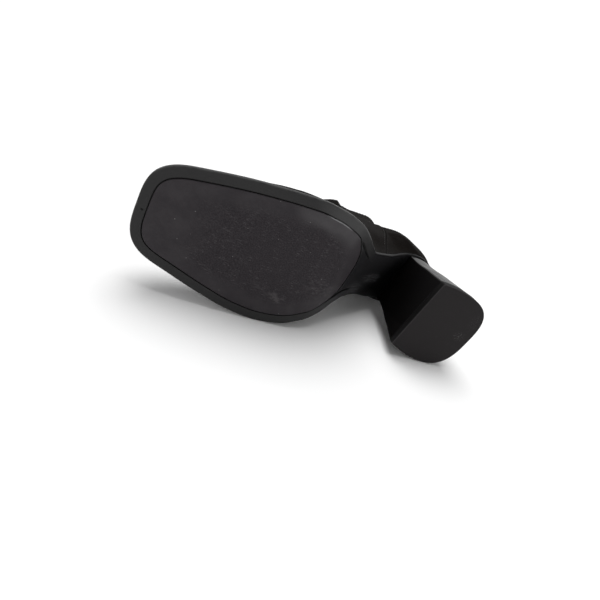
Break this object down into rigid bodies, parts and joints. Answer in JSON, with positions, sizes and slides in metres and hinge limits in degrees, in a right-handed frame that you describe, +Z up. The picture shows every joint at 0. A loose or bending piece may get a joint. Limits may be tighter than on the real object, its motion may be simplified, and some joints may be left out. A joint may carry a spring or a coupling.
{
  "type": "block heel boot",
  "caption": "Left ankle boot with square toe, flared block heel, inlaid tread panel and slack hollow shaft, lying on its inner side.",
  "frame": {"origin": "centre of the lying boot's bounding box on the floor", "axes": "-X towards the toe, +Y from the ground side of the sole up the leg, +Z up from the floor towards the boot's outer side"},
  "size_m": [0.2526, 0.1782, 0.0902],
  "materials": {
    "outsole": "satin black moulded rubber",
    "tread_panel": "matt worn rubber",
    "heel_block": "polished black covering",
    "heel_top_piece": "matt worn rubber",
    "upper": "smooth black leather",
    "insole": "plain dark lining"
  },
  "bodies": {
    "root": {"outsole": "outsole", "tread_panel": "tread_panel", "heel_block": "heel_block", "heel_top_piece": "heel_top_piece", "upper": "upper", "insole": "insole"}
  },
  "joints": []
}
